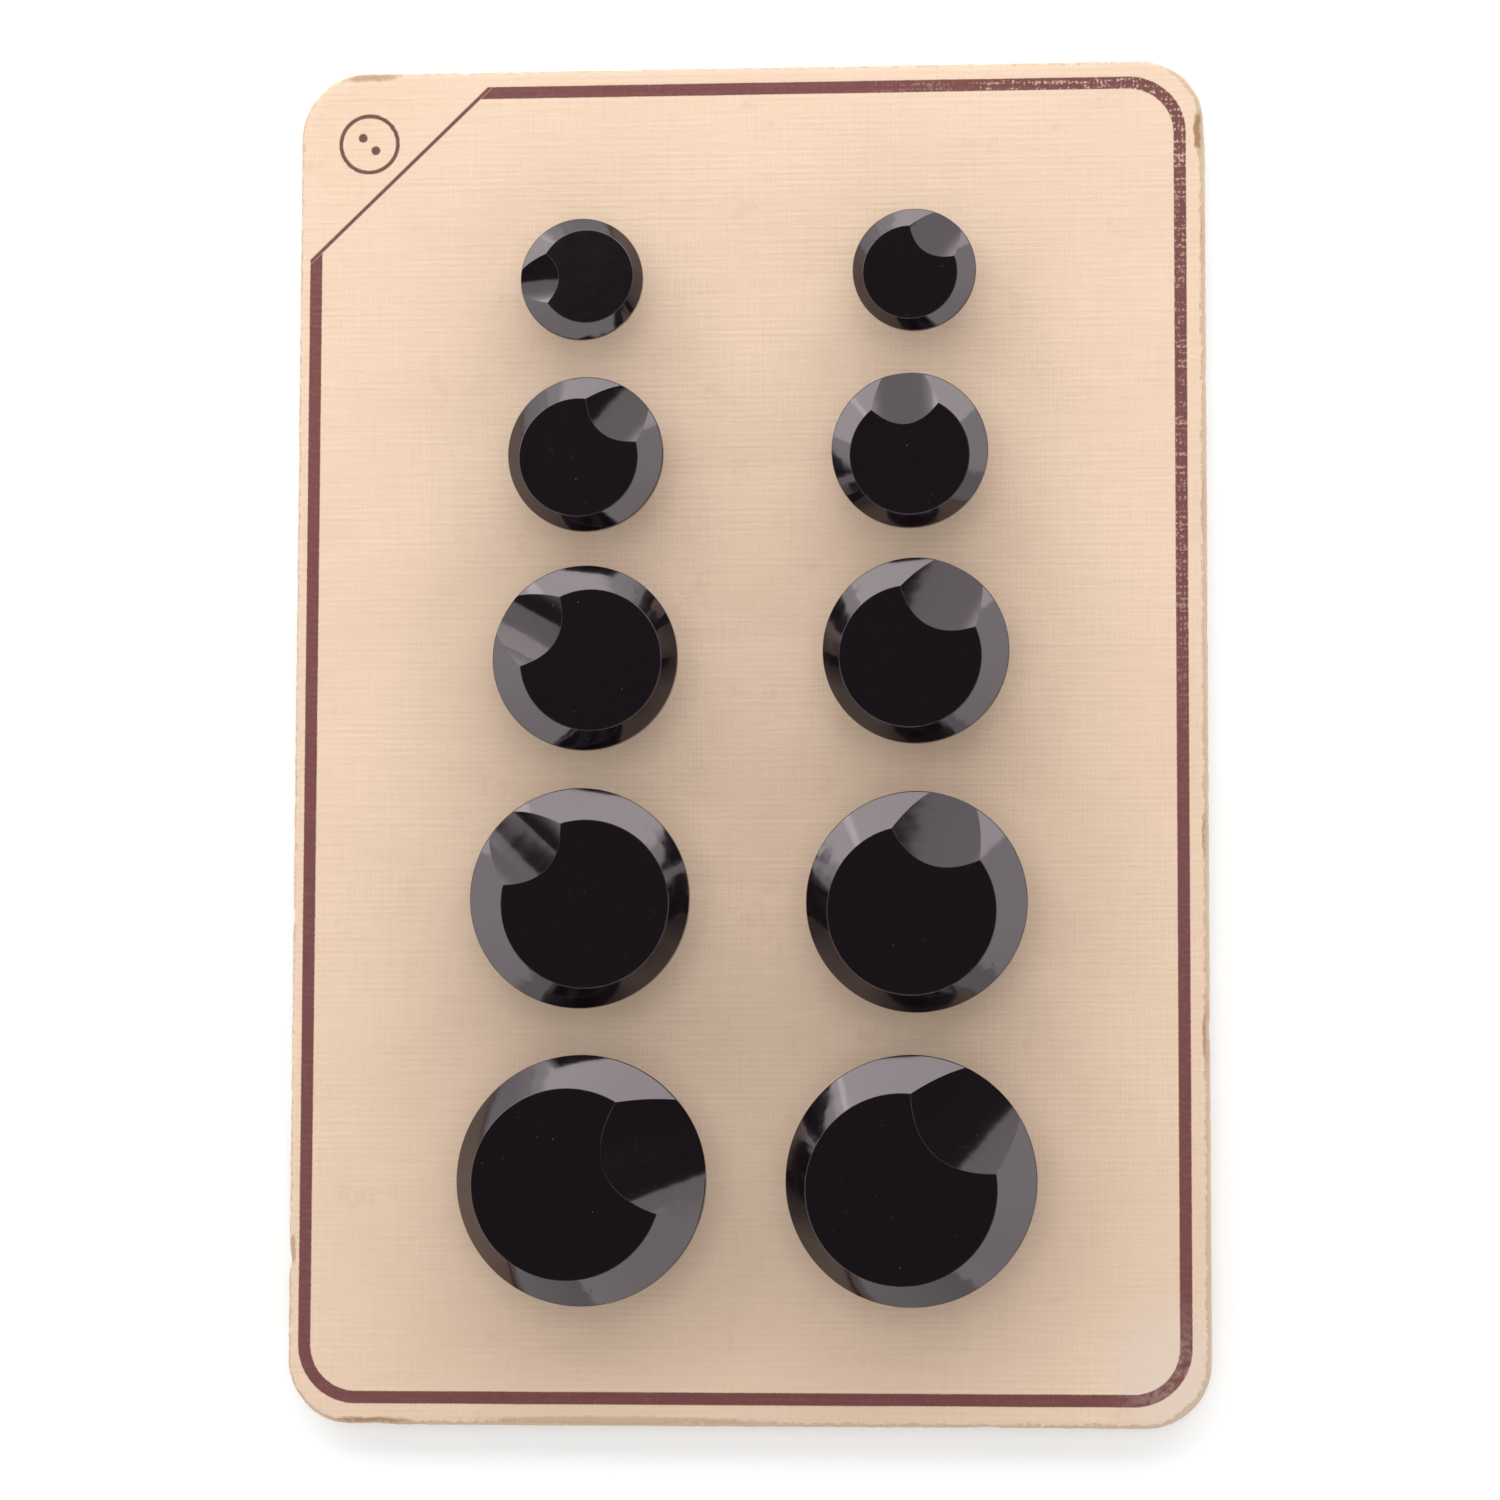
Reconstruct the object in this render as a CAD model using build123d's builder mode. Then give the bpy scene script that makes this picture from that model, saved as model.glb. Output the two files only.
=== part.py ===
from build123d import *
from dataclasses import dataclass
import math
import os

# A sample card of glossy shank buttons, graded in five sizes and sewn on in two columns.
# The card lies on its back: its face looks to +Z and its smallest buttons are towards +Y.
# The origin is under the middle of the card, on the plane that the knots lie on.  Millimetres.

# ---------------------------------------------------------------- card
card_width = 104.0
card_height = 155.0
card_thickness = 1.5
card_corner_radius = 7.5
card_edge_radius = 0.2

# ---------------------------------------------------------------- thread and its holes
# The thread is doubled: two strands side by side make a flat band.
thread_width = 0.9
thread_thickness = 0.45
thread_bend_radius = 0.6  # outside the band
thread_clearance = 0.1  # between the thread and what it passes or lies on
shank_hole_diameter = 1.9
knot_length = 2.2  # along the stitch
knot_width = 1.7
knot_height = 1.3
knot_corner_radius = 0.6
knot_edge_radius = 0.3
knot_tail_length = 5.0
knot_tail_angle = 28.0  # each tail, off the line across the stitch

# ---------------------------------------------------------------- what every button shares
shank_height = 3.0
shank_foot_wall = 0.6  # plastic between the cross hole and the foot
rim_edge_radius = 0.25
face_edge_radius = 0.12

# One pattern was moulded in five sizes, so its form is given as shares of the rim's radius.
# In the button's own plane the thumb cut runs out along +X.
face_share = 0.76  # radius of the flat face
face_shift_share = 0.10  # the face's centre lies this far towards -X
bevel_share = 0.22  # height of the slope from the face to the rim band
band_share = 0.10  # height of the upright rim band
dome_share = 0.12  # depth of the domed back
cut_slope = 20.5  # degrees that the cut falls towards the rim
cut_length_share = 2.5

# ---------------------------------------------------------------- places on the card
column_offset = 18.8  # from the card's middle line to each column
stack_shift = -2.35  # the rows' middle, off the card's middle


@dataclass(frozen=True)
class Row:
    """One graded size: two buttons side by side."""

    name: str
    diameter: float
    shank_diameter: float
    gap_above: float  # clear card between this row's rims and those above it


@dataclass(frozen=True)
class Sample:
    """One button of the card: how it was sewn on, and how its thumb cut, ground by hand, came out."""

    side: str
    turn: float  # which way the thumb cut points, in degrees
    nudge: tuple  # how far the button is off its place
    cut_start: float  # from the button's centre to where the cut starts, as a share of the radius
    cut_radius: float  # of the round cutter, as a share of the radius


ROWS = [
    Row("size_1", diameter=14.0, shank_diameter=4.6, gap_above=0.0),
    Row("size_2", diameter=17.7, shank_diameter=5.2, gap_above=4.55),
    Row("size_3", diameter=21.0, shank_diameter=5.8, gap_above=3.65),
    Row("size_4", diameter=24.8, shank_diameter=6.6, gap_above=4.8),
    Row("size_5", diameter=28.0, shank_diameter=7.2, gap_above=5.0),
]

SAMPLES = {
    "size_1": [
        Sample("left", 182.0, (0.0, -0.2), cut_start=0.35, cut_radius=1.25),
        Sample("right", 55.0, (0.3, 0.4), cut_start=0.31, cut_radius=1.35),
    ],
    "size_2": [
        Sample("left", 49.0, (0.6, 0.0), cut_start=0.33, cut_radius=1.35),
        Sample("right", 95.5, (-0.2, 0.1), cut_start=0.30, cut_radius=1.20),
    ],
    "size_3": [
        Sample("left", 150.5, (0.7, -0.3), cut_start=0.33, cut_radius=1.35),
        Sample("right", 61.0, (0.5, 0.3), cut_start=0.28, cut_radius=1.35),
    ],
    "size_4": [
        Sample("left", 137.0, (0.3, 0.2), cut_start=0.37, cut_radius=1.12),
        Sample("right", 70.0, (0.6, -0.3), cut_start=0.34, cut_radius=1.35),
    ],
    "size_5": [
        Sample("left", 20.5, (0.7, 0.0), cut_start=0.22, cut_radius=1.20),
        Sample("right", 47.0, (0.0, 0.0), cut_start=0.28, cut_radius=1.40),
    ],
}

# ---------------------------------------------------------------- values that follow
stitch_top = card_thickness + thread_clearance  # under the card's face
back_height = thread_clearance + knot_height  # the card's back over the plane it all lies on
face_height = back_height + card_thickness
shank_hole_height = shank_foot_wall + shank_hole_diameter / 2
needle_hole_diameter = math.hypot(thread_width, thread_thickness) + 2 * thread_clearance
# The thread is pulled tight, so its band lies low in the cross hole, where the hole is this wide.
band_drop = math.sqrt((shank_hole_diameter / 2 - thread_clearance) ** 2 - (thread_width / 2) ** 2)
band_height = shank_hole_height - band_drop


def row_heights():
    """The Y of each row: the rows are stacked rim to rim with their gaps, about the shifted middle."""
    stack = sum(row.diameter + row.gap_above for row in ROWS)
    top = stack / 2 + stack_shift
    heights = {}
    for row in ROWS:
        heights[row.name] = top - row.gap_above - row.diameter / 2
        top -= row.gap_above + row.diameter
    return heights


def seat_of(sample, row_y):
    """The plane on the card's face that a button stands on, with X along its thumb cut."""
    sign = -1 if sample.side == "left" else 1
    centre = (sign * column_offset + sample.nudge[0], row_y + sample.nudge[1], face_height)
    turn = math.radians(sample.turn)
    return Plane(origin=centre, x_dir=(math.cos(turn), math.sin(turn), 0), z_dir=(0, 0, 1))


def leg_reach(row):
    """How far the thread's two legs, and so the needle holes, lie from the shank's middle."""
    return row.shank_diameter / 2 + thread_clearance + thread_thickness / 2


def make_card(seats):
    """The pasteboard card, pierced twice for each button."""
    with BuildPart() as card:
        with BuildSketch(Plane.XY.offset(back_height)):
            RectangleRounded(card_width, card_height, card_corner_radius)
        extrude(amount=card_thickness)
        fillet(card.faces().filter_by(Axis.Z).edges(), card_edge_radius)
        for row, seat in seats:
            with BuildSketch(seat):
                with Locations((0, leg_reach(row)), (0, -leg_reach(row))):
                    Circle(needle_hole_diameter / 2)
            extrude(amount=-card_thickness, mode=Mode.SUBTRACT)
    return card


def make_button(row, sample, seat):
    """A moulded button: flat off-centre face, sloping bevel, rim band, domed back and its own shank."""
    radius = row.diameter / 2
    shank_radius = row.shank_diameter / 2
    band_foot = shank_height + dome_share * radius
    band_top = band_foot + band_share * radius
    face_level = band_top + bevel_share * radius
    side = Plane(origin=seat.origin, x_dir=seat.x_dir, z_dir=-seat.y_dir)
    across = Plane(origin=seat.origin, x_dir=seat.x_dir, z_dir=seat.y_dir)

    def is_rim(edge):
        return abs(edge.radius - radius) < 0.01

    with BuildPart() as button:
        # Shank, domed back and rim band, turned about the button's axis.
        with BuildSketch(side):
            with BuildLine():
                Polyline((0, band_top), (0, 0), (shank_radius, 0), (shank_radius, shank_height))
                Spline(
                    (shank_radius, shank_height),
                    (radius, band_foot),
                    tangents=[(1, 0), (1, 1)],
                )
                Polyline((radius, band_foot), (radius, band_top), (0, band_top))
            make_face()
        revolve(axis=Axis(seat.origin, seat.z_dir))
        # Bevel: a slanting cone from the rim to the face, which is off the centre.
        with BuildSketch(seat.offset(band_top)):
            Circle(radius)
        with BuildSketch(seat.offset(face_level)):
            with Locations((-face_shift_share * radius, 0)):
                Circle(face_share * radius)
        loft()
        fillet(button.edges().filter_by(GeomType.CIRCLE).filter_by(is_rim), rim_edge_radius)
        # Thumb cut: a round cutter that enters the face and falls towards the rim.
        start = seat.from_local_coords((sample.cut_start * radius, 0, face_level))
        fall = math.radians(cut_slope)
        along = seat.x_dir * math.cos(fall) - seat.z_dir * math.sin(fall)
        lift = seat.x_dir * math.sin(fall) + seat.z_dir * math.cos(fall)
        cutter = Plane(
            origin=start + lift * (sample.cut_radius * radius), x_dir=seat.y_dir, z_dir=along
        )
        with BuildSketch(cutter):
            Circle(sample.cut_radius * radius)
        extrude(amount=cut_length_share * radius, both=True, mode=Mode.SUBTRACT)
        fillet(button.faces().sort_by(Axis.Z)[-1].edges(), face_edge_radius)
        # Cross hole in the shank for the thread.
        with BuildSketch(across):
            with Locations((0, -shank_hole_height)):
                Circle(shank_hole_diameter / 2)
        extrude(amount=row.shank_diameter, both=True, mode=Mode.SUBTRACT)
    return button


def make_thread(row, seat):
    """The thread through the shank and the card, with its stitch and knot at the card's back."""
    outer_width = 2 * leg_reach(row) + thread_thickness
    outer_height = band_height + thread_thickness + stitch_top + thread_thickness
    middle = (band_height - stitch_top) / 2
    upright = Plane(origin=seat.origin, x_dir=seat.y_dir, z_dir=seat.x_dir)
    under_card = seat.offset(-stitch_top)
    with BuildPart() as thread:
        # The knot, wound round the stitch.
        with BuildSketch(under_card):
            RectangleRounded(knot_width, knot_length, knot_corner_radius)
        extrude(amount=-knot_height)
        fillet(thread.faces().sort_by(Axis.Z)[0].edges(), knot_edge_radius)
        # Its two cut tails, lying under the card.
        with BuildSketch(under_card):
            for angle in (knot_tail_angle, -knot_tail_angle):
                with Locations(Location((0, 0), angle)):
                    with Locations((knot_tail_length / 2, 0)):
                        SlotOverall(knot_tail_length, thread_thickness)
        extrude(amount=-thread_thickness)
        # The loop: up one needle hole, through the shank, down the other and across the back.
        with BuildSketch(upright):
            with Locations((0, middle)):
                RectangleRounded(outer_width, outer_height, thread_bend_radius)
                RectangleRounded(
                    outer_width - 2 * thread_thickness,
                    outer_height - 2 * thread_thickness,
                    thread_bend_radius - thread_thickness,
                    mode=Mode.SUBTRACT,
                )
        extrude(amount=thread_width / 2, both=True)
    return thread


os.makedirs("parts", exist_ok=True)
heights = row_heights()
places = [
    (row, sample, seat_of(sample, heights[row.name]))
    for row in ROWS
    for sample in SAMPLES[row.name]
]

card = make_card([(row, seat) for row, sample, seat in places])
card.part.label = "card"
export_step(card.part, "parts/card.step")

for row, sample, seat in places:
    button = make_button(row, sample, seat)
    button.part.label = f"button_{row.name}_{sample.side}"
    export_step(button.part, f"parts/{button.part.label}.step")
    thread = make_thread(row, seat)
    thread.part.label = f"thread_{row.name}_{sample.side}"
    export_step(thread.part, f"parts/{thread.part.label}.step")
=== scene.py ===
"""A sample card of graded black shank buttons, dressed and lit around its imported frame."""

from __future__ import annotations

import logging
import math
import random
from dataclasses import dataclass, field
from enum import Enum
from functools import cached_property

import bmesh
import bpy
from mathutils import Matrix, Vector, noise

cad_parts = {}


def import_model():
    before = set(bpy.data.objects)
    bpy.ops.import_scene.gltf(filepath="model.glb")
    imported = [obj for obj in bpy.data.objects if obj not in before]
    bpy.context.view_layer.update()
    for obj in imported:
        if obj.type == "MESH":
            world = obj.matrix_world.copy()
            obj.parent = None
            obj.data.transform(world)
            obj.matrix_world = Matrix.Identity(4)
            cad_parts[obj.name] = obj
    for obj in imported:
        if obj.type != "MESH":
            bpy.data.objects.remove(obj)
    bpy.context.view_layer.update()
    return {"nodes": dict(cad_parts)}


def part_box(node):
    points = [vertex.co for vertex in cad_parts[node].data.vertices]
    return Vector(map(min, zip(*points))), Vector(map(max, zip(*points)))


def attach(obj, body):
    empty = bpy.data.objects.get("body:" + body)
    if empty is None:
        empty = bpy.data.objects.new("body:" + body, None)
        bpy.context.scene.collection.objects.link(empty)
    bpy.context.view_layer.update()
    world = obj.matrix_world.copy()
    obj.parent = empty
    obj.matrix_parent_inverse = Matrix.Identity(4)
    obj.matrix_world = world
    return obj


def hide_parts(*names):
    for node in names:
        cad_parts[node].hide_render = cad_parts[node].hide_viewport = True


LOG = logging.getLogger("button_card")

MM = 0.001
BODY = "root"
THREAD_GAP = 0.1  # millimetres, as in the CAD
THREAD_THICKNESS = 0.45  # millimetres, as in the CAD

QUARTER = 90.0
NEAR_ZERO = 1e-9
NOISE_MIDDLE = 0.5
SPECK_SOFT = 0.5  # a speck's soft edge, as a share of its size
WAVE_RATE = 20.0  # radians that a Wave Texture of scale 1 turns in a unit of length

Colour = tuple[float, float, float]
Point = tuple[float, float, float]
Step = tuple[float, float]  # where a soft step is half way up, and its full width
Socket = bpy.types.NodeSocket


class Side(Enum):
    """The two columns of the card."""

    LEFT = "left"
    RIGHT = "right"


class Slot(Enum):
    """The record's material slots."""

    PASTEBOARD = "pasteboard"
    BUTTON = "button_black"
    THREAD = "sewing_thread"


@dataclass(frozen=True)
class Sewn:
    """One sewn-on button: its size, its column, which way its thumb cut points, and its shank."""

    size: int
    side: Side
    turn: float
    shank: float

    @property
    def button(self) -> str:
        """The button's CAD node."""
        return f"button_size_{self.size}_{self.side.value}"

    @property
    def thread(self) -> str:
        """The thread's CAD node."""
        return f"thread_size_{self.size}_{self.side.value}"

    @property
    def leg_reach(self) -> float:
        """How far the thread's two legs lie from the shank's middle, in metres."""
        return (self.shank / 2 + THREAD_GAP + THREAD_THICKNESS / 2) * MM

    @cached_property
    def middle(self) -> Vector:
        """The middle of the button's CAD box."""
        low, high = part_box(self.button)
        return (low + high) / 2

    def place(self, local: Vector, level: float) -> Vector:
        """Turns a place about the button into a place in the scene.

        Args:
            local: the place, with X along the thumb cut and Z up from the level.
            level: the height that Z counts from.

        Returns:
            The place in the scene.
        """
        turned = Matrix.Rotation(math.radians(self.turn), 3, "Z") @ local
        return Vector((self.middle.x, self.middle.y, level)) + turned


SEWING = (
    Sewn(1, Side.LEFT, 182.0, 4.6),
    Sewn(1, Side.RIGHT, 55.0, 4.6),
    Sewn(2, Side.LEFT, 49.0, 5.2),
    Sewn(2, Side.RIGHT, 95.5, 5.2),
    Sewn(3, Side.LEFT, 150.5, 5.8),
    Sewn(3, Side.RIGHT, 61.0, 5.8),
    Sewn(4, Side.LEFT, 137.0, 6.6),
    Sewn(4, Side.RIGHT, 70.0, 6.6),
    Sewn(5, Side.LEFT, 20.5, 7.2),
    Sewn(5, Side.RIGHT, 47.0, 7.2),
)


# ----------------------------------------------------------------------------- shader maths


class Value:
    """A number in a shader tree, on which Python's operators add Math nodes."""

    def __init__(self, surface: Shading, socket: Socket) -> None:
        """Wraps one output socket.

        Args:
            surface: the shader tree that the socket is in.
            socket: the output that carries the number.
        """
        self.surface = surface
        self.socket = socket

    def math(self, operation: str, *others: Value | float, flip: bool = False) -> Value:
        """Adds one Math node.

        Args:
            operation: the Math node's operation.
            others: what follows this value as the node's inputs.
            flip: whether the one other input comes before this value.

        Returns:
            The node's result.
        """
        terms = [*others, self] if flip else [self, *others]
        made = self.surface.node("Math", {"operation": operation}, dict(enumerate(terms)))
        return Value(self.surface, made.outputs[0])

    def __add__(self, other: Value | float) -> Value:
        """Returns this plus other."""
        return self.math("ADD", other)

    __radd__ = __add__

    def __sub__(self, other: Value | float) -> Value:
        """Returns this minus other."""
        return self.math("SUBTRACT", other)

    def __rsub__(self, other: float) -> Value:
        """Returns other minus this."""
        return self.math("SUBTRACT", other, flip=True)

    def __mul__(self, other: Value | float) -> Value:
        """Returns this times other."""
        return self.math("MULTIPLY", other)

    __rmul__ = __mul__

    def __abs__(self) -> Value:
        """Returns this without its sign."""
        return self.math("ABSOLUTE")

    def high(self, other: Value | float) -> Value:
        """Returns the larger of this and other."""
        return self.math("MAXIMUM", other)

    def low(self, other: Value | float) -> Value:
        """Returns the smaller of this and other."""
        return self.math("MINIMUM", other)

    def length(self, other: Value) -> Value:
        """Returns the length of the vector whose two parts are this and other."""
        return (self * self + other * other).math("SQRT")

    def above(self, edge: float, soft: float) -> Value:
        """Makes a soft step.

        Args:
            edge: where the step is half way up.
            soft: the step's full width.

        Returns:
            0 well below the edge and 1 well above it.
        """
        made = self.surface.node(
            "MapRange",
            {"interpolation_type": "SMOOTHSTEP"},
            {"Value": self, "From Min": edge - soft / 2, "From Max": edge + soft / 2},
        )
        return Value(self.surface, made.outputs["Result"])

    def below(self, edge: float, soft: float) -> Value:
        """Returns a soft step that is 1 well below the edge and 0 well above it."""
        return 1 - self.above(edge, soft)


class Shading:
    """A shader tree, with the one way that nodes are added to it."""

    def __init__(self, tree: bpy.types.ShaderNodeTree) -> None:
        """Empties the tree.

        Args:
            tree: the tree of a material or a world.
        """
        self.tree = tree
        self.tree.nodes.clear()

    def node(
        self, kind: str, settings: dict[str, object], inputs: dict[str | int, object]
    ) -> bpy.types.Node:
        """Adds a node, sets it up, then fills its sockets.

        Args:
            kind: the node's type, without its ShaderNode prefix.
            settings: the node's own properties.
            inputs: a link, a Value or a constant for each named or numbered input.

        Returns:
            The new node.
        """
        made = self.tree.nodes.new("ShaderNode" + kind)
        for key, setting in settings.items():
            setattr(made, key, setting)
        for key, given in inputs.items():
            if isinstance(given, Value):
                given = given.socket
            if isinstance(given, Socket):
                self.tree.links.new(given, made.inputs[key])
            else:
                made.inputs[key].default_value = given
        return made

    def parts(self, vector: Socket) -> tuple[Value, Value, Value]:
        """Returns the X, Y and Z of a vector."""
        made = self.node("SeparateXYZ", {}, {0: vector})
        return tuple(Value(self, made.outputs[i]) for i in range(3))


@dataclass(frozen=True)
class Grain:
    """A soft noise: the features that a millimetre holds along each axis, and its finer layers."""

    scale: Point
    layers: float = 3.0
    rough: float = 0.6


def even(features: float) -> Point:
    """Returns a scale that is the same along each axis."""
    return (features, features, features)


class Surface(Shading):
    """One material's tree, with the few kinds of pattern that the finishes need."""

    def __init__(self, name: str) -> None:
        """Makes an empty material.

        Args:
            name: the material's name.
        """
        self.material = bpy.data.materials.new(name)
        self.material.use_nodes = True
        super().__init__(self.material.node_tree)
        self.place = self.node("TexCoord", {}, {}).outputs["Object"]

    def axes(self) -> tuple[Value, Value, Value]:
        """Returns the place on the object in millimetres, as X, Y and Z."""
        return tuple(part * (1 / MM) for part in self.parts(self.place))

    def stretched(self, scale: Point) -> Socket:
        """Stretches the place on the object.

        Args:
            scale: what each axis is multiplied by, per millimetre.

        Returns:
            The stretched place.
        """
        grown = tuple(share / MM for share in scale)
        made = self.node("VectorMath", {"operation": "MULTIPLY"}, {0: self.place, 1: grown})
        return made.outputs[0]

    def noise(self, grain: Grain) -> Value:
        """Makes soft noise.

        Args:
            grain: the noise's features.

        Returns:
            The noise, from 0 to 1 about its middle.
        """
        made = self.node(
            "TexNoise",
            {},
            {
                "Vector": self.stretched(grain.scale),
                "Scale": 1.0,
                "Detail": grain.layers,
                "Roughness": grain.rough,
            },
        )
        return Value(self, made.outputs[0])

    def specks(self, scale: Point, size: float) -> Value:
        """Makes small round specks scattered over the surface.

        Args:
            scale: how many cells a millimetre holds, along each axis; each cell may hold a speck.
            size: the speck's reach, as a share of its cell.

        Returns:
            1 on a speck and 0 off it.
        """
        cells = self.node("TexVoronoi", {}, {"Vector": self.stretched(scale), "Scale": 1.0})
        return Value(self, cells.outputs["Distance"]).below(size, size * SPECK_SOFT)

    def waves(self, direction: str, period: float, wander: float) -> Value:
        """Makes ribs.

        Args:
            direction: the axis that the ribs follow one another along.
            period: from rib to rib, in millimetres.
            wander: how far the ribs stray.

        Returns:
            The ribs' height, from 0 to 1.
        """
        made = self.node(
            "TexWave",
            {"bands_direction": direction},
            {
                "Vector": self.stretched((1.0, 1.0, 1.0)),
                "Scale": math.tau / WAVE_RATE / period,
                "Distortion": wander,
                "Detail": 2.0,
                "Detail Scale": 1.5,
            },
        )
        return Value(self, made.outputs["Fac"])

    def mix(self, share: Value | float, first: Socket | Colour, second: Socket | Colour) -> Socket:
        """Blends two colours.

        Args:
            share: how much of the second colour shows.
            first: a linear colour, or the link that carries it.
            second: the other colour.

        Returns:
            The blended colour's socket.
        """
        ends = [c if isinstance(c, Socket) else (*c, 1.0) for c in (first, second)]
        made = self.node("Mix", {"data_type": "RGBA"}, {0: share, 6: ends[0], 7: ends[1]})
        return made.outputs[2]

    def bump(self, height: Value, depth: float) -> Socket:
        """Returns a normal that leans with a height field of the given depth in millimetres."""
        made = self.node("Bump", {}, {"Height": height, "Distance": depth * MM, "Strength": 1.0})
        return made.outputs["Normal"]

    def finish(self, varying: dict[str, object], uniform: dict[str, object]) -> bpy.types.Material:
        """Closes the tree with its one shader.

        Args:
            varying: links for the inputs that change over the surface.
            uniform: constants for the inputs that don't.

        Returns:
            The finished material.
        """
        shader = self.node("BsdfPrincipled", {}, {**varying, **uniform})
        self.node("OutputMaterial", {}, {"Surface": shader.outputs["BSDF"]})
        return self.material


# ----------------------------------------------------------------------------- finishes


@dataclass(frozen=True)
class PrintedRule:
    """The printed border, in millimetres about the card's middle: a rule with one corner cut off."""

    centre: tuple[float, float] = (-0.5, 0.3)
    half: tuple[float, float] = (50.35, 75.4)
    corner: float = 6.6
    width: float = 1.4
    cut_start: tuple[float, float] = (-49.4, 56.9)
    cut_end: tuple[float, float] = (-30.8, 75.0)
    cut_line: float = 0.42
    emblem_centre: tuple[float, float] = (-44.1, 69.2)
    emblem_radius: float = 3.3
    emblem_line: float = 0.45
    emblem_hole_reach: float = 1.05
    emblem_hole: float = 0.52
    edge: float = 0.14

    def inside(self, x: Value, y: Value) -> Value:
        """Measures the depth inside the rule's outer edge.

        Args:
            x: the place across the card.
            y: the place up the card.

        Returns:
            How far the place lies inside the edge.
        """
        across = abs(x - self.centre[0]) - (self.half[0] - self.corner)
        along = abs(y - self.centre[1]) - (self.half[1] - self.corner)
        corner = across.high(0.0).length(along.high(0.0))
        return self.corner - corner - across.high(along).low(0.0)

    def past_cut(self, x: Value, y: Value) -> Value:
        """Measures from the diagonal that cuts the corner off.

        Args:
            x: the place across the card.
            y: the place up the card.

        Returns:
            How far the place lies past the diagonal, towards the corner.
        """
        run = Vector(self.cut_end) - Vector(self.cut_start)
        out = Vector((-run.y, run.x)).normalized()
        return (x - self.cut_start[0]) * out.x + (y - self.cut_start[1]) * out.y

    def emblem(self, x: Value, y: Value) -> Value:
        """Prints the little ring with two holes, a plain sign for a button.

        Args:
            x: the place across the card.
            y: the place up the card.

        Returns:
            1 on the ring's lines and 0 off them.
        """
        right, up = x - self.emblem_centre[0], y - self.emblem_centre[1]
        ring = abs(right.length(up) - self.emblem_radius).below(self.emblem_line / 2, self.edge)
        lean = self.emblem_hole_reach * math.sqrt(0.5)
        for sign in (1, -1):
            hole = (right - sign * lean).length(up + sign * lean)
            ring = ring.high(hole.below(self.emblem_hole, self.edge))
        return ring

    def mask(self, x: Value, y: Value) -> Value:
        """Prints the rule, its diagonal and the ring.

        Args:
            x: the place across the card.
            y: the place up the card.

        Returns:
            1 on the print and 0 off it.
        """
        depth = self.inside(x, y)
        past = self.past_cut(x, y)
        rule = depth.above(0.0, self.edge) * depth.below(self.width, self.edge)
        rule = rule * past.below(-self.cut_line / 2, self.edge)
        cut = abs(past).below(self.cut_line / 2, self.edge) * depth.above(0.0, self.edge)
        return rule.high(cut).high(self.emblem(x, y))


@dataclass(frozen=True)
class WornPatch:
    """A soft-edged worn or stained place on the card's face, in millimetres."""

    centre: tuple[float, float]
    reach: tuple[float, float]
    soft: float = 0.7
    strength: float = 1.0
    ragged: float = 1.4

    def mask(self, x: Value, y: Value, fleck: Value) -> Value:
        """Marks the patch.

        Args:
            x: the place across the card.
            y: the place up the card.
            fleck: the noise that breaks up the patch's edge.

        Returns:
            1 in the patch and 0 outside it.
        """
        across = (x - self.centre[0]) * (1 / self.reach[0])
        along = (y - self.centre[1]) * (1 / self.reach[1])
        spread = across.length(along) + (fleck - NOISE_MIDDLE) * self.ragged
        return spread.below(1.0, self.soft)


@dataclass(frozen=True)
class Linen:
    """The linen emboss: fine ribs both ways, broken by longer threads."""

    rib_period: float = 0.72
    rib_wander: float = 2.2
    rib_share: float = 0.16
    warp_period: float = 0.46
    warp_wander: float = 2.6
    warp_share: float = 0.10
    streaks: Grain = Grain((0.11, 2.1, 1.0), 5.0, 0.65)
    streak_share: float = 0.95
    threads: Grain = Grain((2.1, 0.13, 1.0), 5.0, 0.65)
    thread_share: float = 0.60

    def height(self, s: Surface) -> Value:
        """Makes the emboss.

        Args:
            s: the material's tree.

        Returns:
            The emboss's height.
        """
        ribs = s.waves("Y", self.rib_period, self.rib_wander) * self.rib_share
        warp = s.waves("X", self.warp_period, self.warp_wander) * self.warp_share
        streaks = s.noise(self.streaks) * self.streak_share
        threads = s.noise(self.threads) * self.thread_share
        return ribs + warp + streaks + threads


@dataclass(frozen=True)
class PrintWear:
    """How the printed ink has rubbed off: most at the top right, least elsewhere."""

    rub: Grain = Grain(even(3.0), 3.0, 0.6)
    rub_share: float = 0.9
    rub_step: Step = (1.50, 0.22)
    speck_cells: Point = even(2.3)
    speck_size: float = 0.26
    speck_step: Step = (0.57, 0.1)
    top_x: Step = (24.0, 30.0)
    top_y: Step = (60.0, 24.0)
    top_loss: float = 0.70
    side_x: Step = (44.0, 4.0)
    side_y: Step = (10.0, 30.0)
    side_loss: float = 0.42
    least_loss: float = 0.04

    def mask(self, s: Surface, x: Value, y: Value, fleck: Value, linen: Value) -> Value:
        """Marks the lost ink, which goes first from the linen's ribs.

        Args:
            s: the material's tree.
            x: the place across the card.
            y: the place up the card.
            fleck: the card's coarse noise.
            linen: the emboss's height.

        Returns:
            The share of the ink that is gone.
        """
        rubbed = (linen + s.noise(self.rub) * self.rub_share).above(*self.rub_step)
        specks = s.specks(self.speck_cells, self.speck_size) * fleck.above(*self.speck_step)
        top = x.above(*self.top_x) * y.above(*self.top_y)
        side = x.above(*self.side_x) * y.above(*self.side_y)
        heavy = (top * self.top_loss).high(side * self.side_loss)
        return rubbed.high(specks) * (heavy + self.least_loss)


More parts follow.
